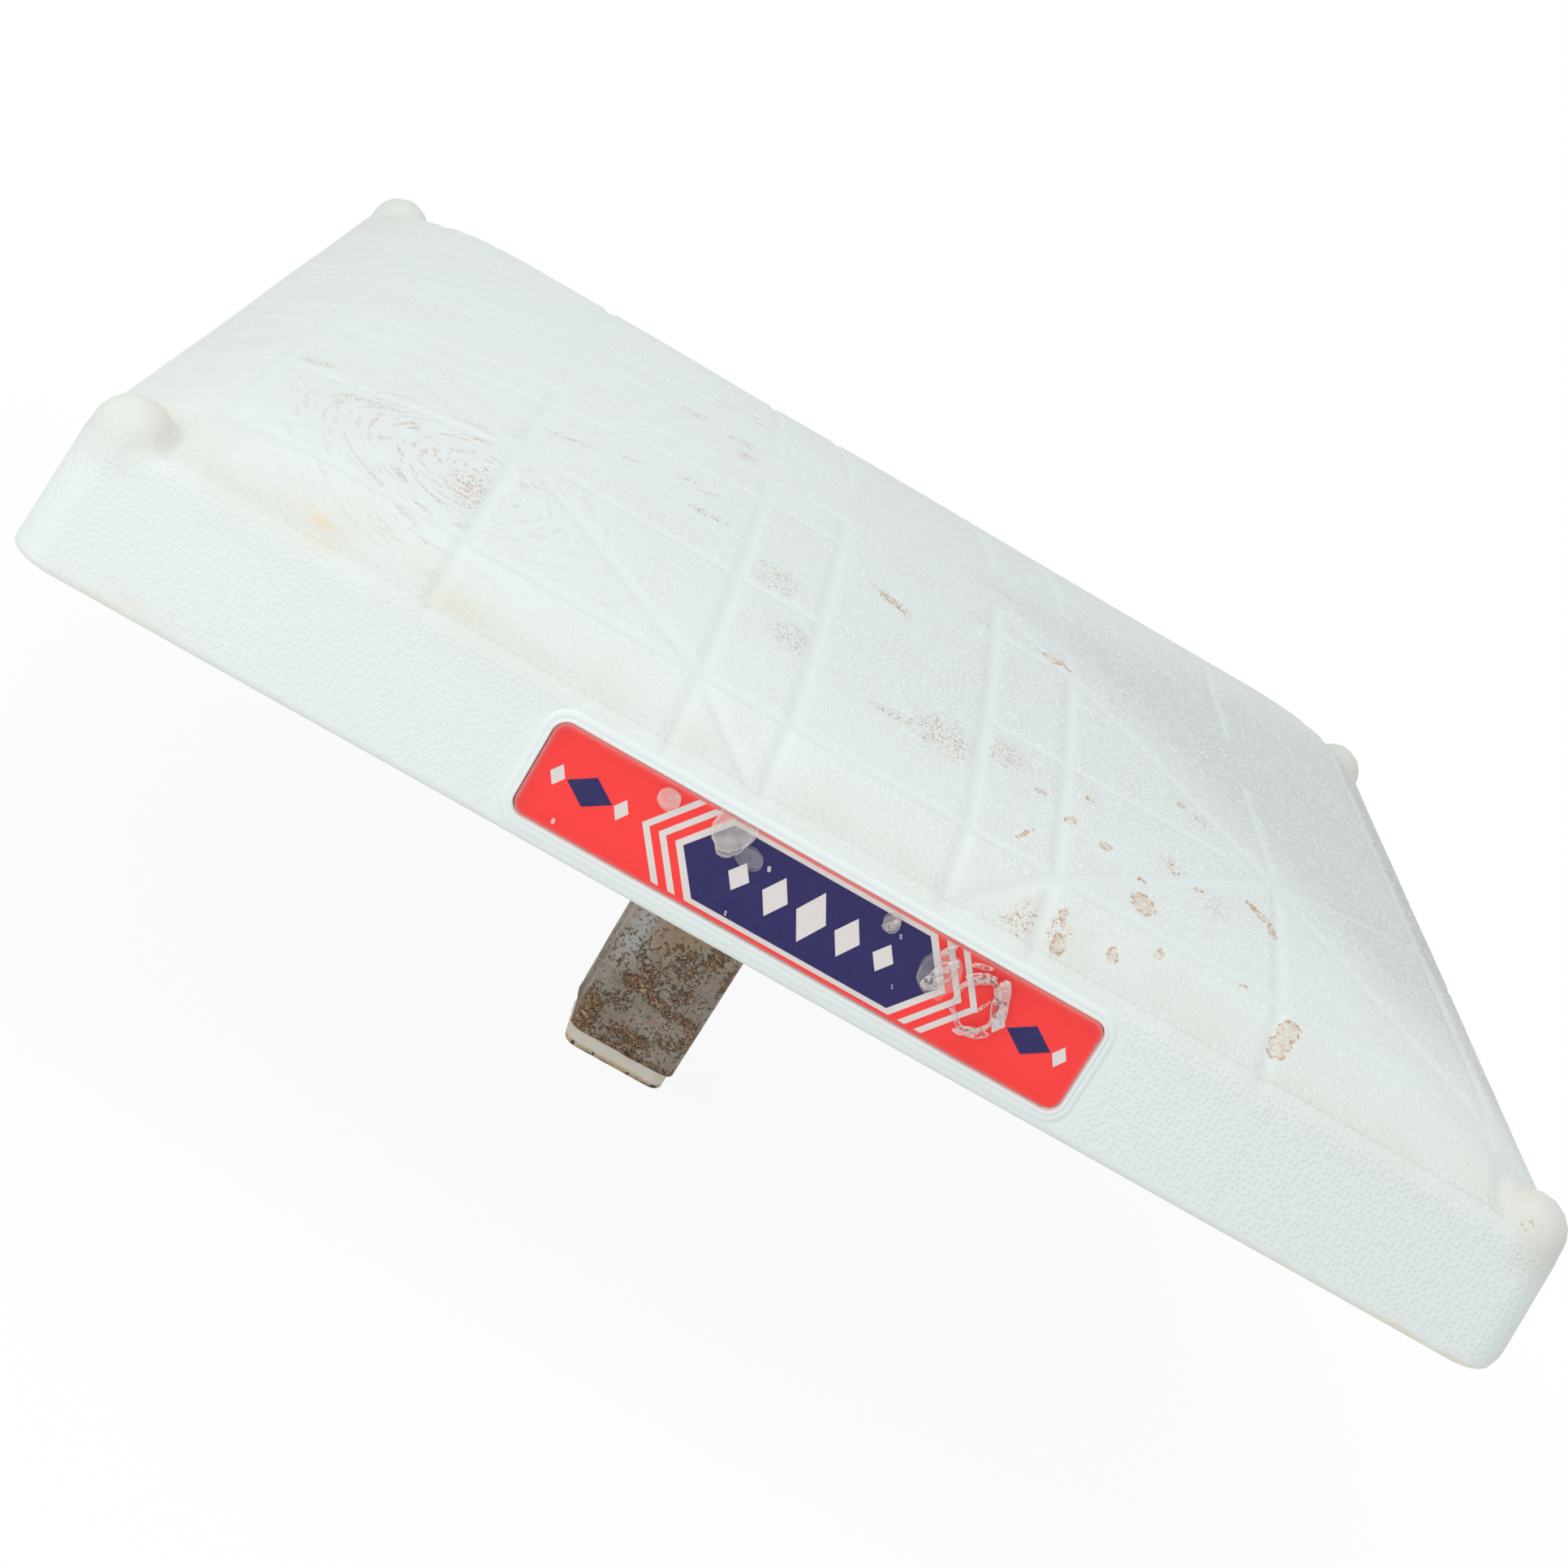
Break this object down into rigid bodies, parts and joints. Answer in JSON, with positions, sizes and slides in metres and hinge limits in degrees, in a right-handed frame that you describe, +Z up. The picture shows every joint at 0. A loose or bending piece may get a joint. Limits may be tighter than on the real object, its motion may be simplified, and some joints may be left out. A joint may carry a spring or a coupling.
{
  "type": "baseball base",
  "caption": "Square padded baseball base: grooved, crowned white rubber cover over a foam core, with a printed nameplate in its front wall and a square steel ground post below.",
  "frame": {"origin": "middle of the foot at ground level, on the axis of the ground post", "axes": "+Z up out of the crown, -Y out of the wall with the nameplate, +X to the right of it"},
  "size_m": [0.4572, 0.4583, 0.2072],
  "materials": {
    "rubber": "pebbled, worn white",
    "foam": "closed-cell foam",
    "board": "plywood",
    "sole": "moulded",
    "post_steel": "galvanised, rusting",
    "plug": "moulded, stained",
    "fastener": "zinc plated",
    "backing": "foam tape",
    "print": "printed film",
    "lens": "clear resin"
  },
  "bodies": {
    "root": {"rubber_cover": "rubber", "foam_core": "foam", "core_board": "board", "sole_panel": "sole", "post_plate": "post_steel", "ground_post": "post_steel", "post_plug": "plug", "nameplate_backing": "backing", "nameplate_print": "print", "nameplate_lens": "lens", "plate_bolt_1": "fastener", "plate_bolt_2": "fastener", "plate_bolt_3": "fastener", "plate_bolt_4": "fastener", "plate_washer_1": "fastener", "plate_washer_2": "fastener", "plate_washer_3": "fastener", "plate_washer_4": "fastener", "plate_nut_1": "fastener", "plate_nut_2": "fastener", "plate_nut_3": "fastener", "plate_nut_4": "fastener", "sole_screw_1": "fastener", "sole_screw_2": "fastener", "sole_screw_3": "fastener", "sole_screw_4": "fastener", "sole_screw_5": "fastener", "sole_screw_6": "fastener", "sole_screw_7": "fastener", "sole_screw_8": "fastener"}
  },
  "joints": []
}
